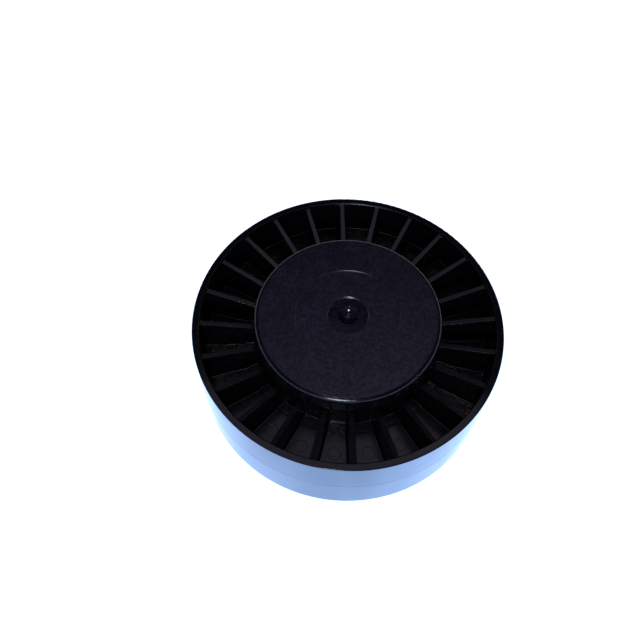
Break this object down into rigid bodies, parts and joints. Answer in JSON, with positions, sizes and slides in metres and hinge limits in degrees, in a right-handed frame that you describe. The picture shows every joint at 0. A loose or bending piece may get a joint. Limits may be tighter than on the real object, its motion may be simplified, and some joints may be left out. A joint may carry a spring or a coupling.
{
  "type": "belt idler pulley",
  "caption": "Flat-faced nylon idler pulley with radial ribs on both sides, a sealed ball bearing on a flanged sleeve and a plug-in dust cap.",
  "frame": {"origin": "centre of the mounting face, the rear end of the spacer sleeve", "axes": "+Z along the turning axis, from the mounting face towards the dust cap; +X through the middle of a rib"},
  "size_m": [0.076, 0.076, 0.0274],
  "materials": {
    "nylon": "glossy black moulded nylon",
    "cap_plastic": "satin charcoal moulded nylon with a fine grain",
    "bearing_steel": "ground bearing steel",
    "ball_steel": "polished bearing steel",
    "pressed_steel": "pressed sheet steel",
    "plated_steel": "zinc plated turned steel",
    "seal_rubber": "moulded nitrile rubber"
  },
  "bodies": {
    "axle": {"spacer_sleeve": "plated_steel", "front_collar": "plated_steel", "rear_dust_shield": "plated_steel", "bearing_inner_ring": "bearing_steel"},
    "wheel": {"pulley_wheel": "nylon", "bearing_outer_ring": "bearing_steel", "front_seal": "seal_rubber", "rear_seal": "seal_rubber", "front_seal_insert": "pressed_steel", "rear_seal_insert": "pressed_steel"},
    "cap": {"dust_cap": "cap_plastic"},
    "cage": {"cage_front_half": "pressed_steel", "cage_rear_half": "pressed_steel", "cage_rivets": "pressed_steel"},
    "ball_1": {"ball_1": "ball_steel"},
    "ball_2": {"ball_2": "ball_steel"},
    "ball_3": {"ball_3": "ball_steel"},
    "ball_4": {"ball_4": "ball_steel"},
    "ball_5": {"ball_5": "ball_steel"},
    "ball_6": {"ball_6": "ball_steel"},
    "ball_7": {"ball_7": "ball_steel"},
    "ball_8": {"ball_8": "ball_steel"}
  },
  "joints": [
    {"name": "wheel_spin", "type": "hinge", "parent": "axle", "child": "wheel", "pos_m": [0, 0, 0.011], "axis": [0, 0, 1], "continuous": true},
    {"name": "cap_pull", "type": "slide", "parent": "wheel", "child": "cap", "axis": [0, 0, 1], "range_m": [0, 0.03]},
    {"name": "cage_spin", "type": "hinge", "parent": "axle", "child": "cage", "pos_m": [0, 0, 0.011], "axis": [0, 0, 1], "continuous": true},
    {"name": "ball_1_roll", "type": "hinge", "parent": "cage", "child": "ball_1", "pos_m": [0.01425, 0, 0.011], "axis": [0, 0, 1], "continuous": true},
    {"name": "ball_2_roll", "type": "hinge", "parent": "cage", "child": "ball_2", "pos_m": [0.01008, 0.01008, 0.011], "axis": [0, 0, 1], "continuous": true},
    {"name": "ball_3_roll", "type": "hinge", "parent": "cage", "child": "ball_3", "pos_m": [0, 0.01425, 0.011], "axis": [0, 0, 1], "continuous": true},
    {"name": "ball_4_roll", "type": "hinge", "parent": "cage", "child": "ball_4", "pos_m": [-0.01008, 0.01008, 0.011], "axis": [0, 0, 1], "continuous": true},
    {"name": "ball_5_roll", "type": "hinge", "parent": "cage", "child": "ball_5", "pos_m": [-0.01425, 0, 0.011], "axis": [0, 0, 1], "continuous": true},
    {"name": "ball_6_roll", "type": "hinge", "parent": "cage", "child": "ball_6", "pos_m": [-0.01008, -0.01008, 0.011], "axis": [0, 0, 1], "continuous": true},
    {"name": "ball_7_roll", "type": "hinge", "parent": "cage", "child": "ball_7", "pos_m": [0, -0.01425, 0.011], "axis": [0, 0, 1], "continuous": true},
    {"name": "ball_8_roll", "type": "hinge", "parent": "cage", "child": "ball_8", "pos_m": [0.01008, -0.01008, 0.011], "axis": [0, 0, 1], "continuous": true}
  ],
  "couplings": [
    {"joint": "cage_spin", "follows": "wheel_spin", "ratio": 0.61842},
    {"joint": "ball_1_roll", "follows": "wheel_spin", "ratio": 1.9927},
    {"joint": "ball_2_roll", "follows": "wheel_spin", "ratio": 1.9927},
    {"joint": "ball_3_roll", "follows": "wheel_spin", "ratio": 1.9927},
    {"joint": "ball_4_roll", "follows": "wheel_spin", "ratio": 1.9927},
    {"joint": "ball_5_roll", "follows": "wheel_spin", "ratio": 1.9927},
    {"joint": "ball_6_roll", "follows": "wheel_spin", "ratio": 1.9927},
    {"joint": "ball_7_roll", "follows": "wheel_spin", "ratio": 1.9927},
    {"joint": "ball_8_roll", "follows": "wheel_spin", "ratio": 1.9927}
  ]
}
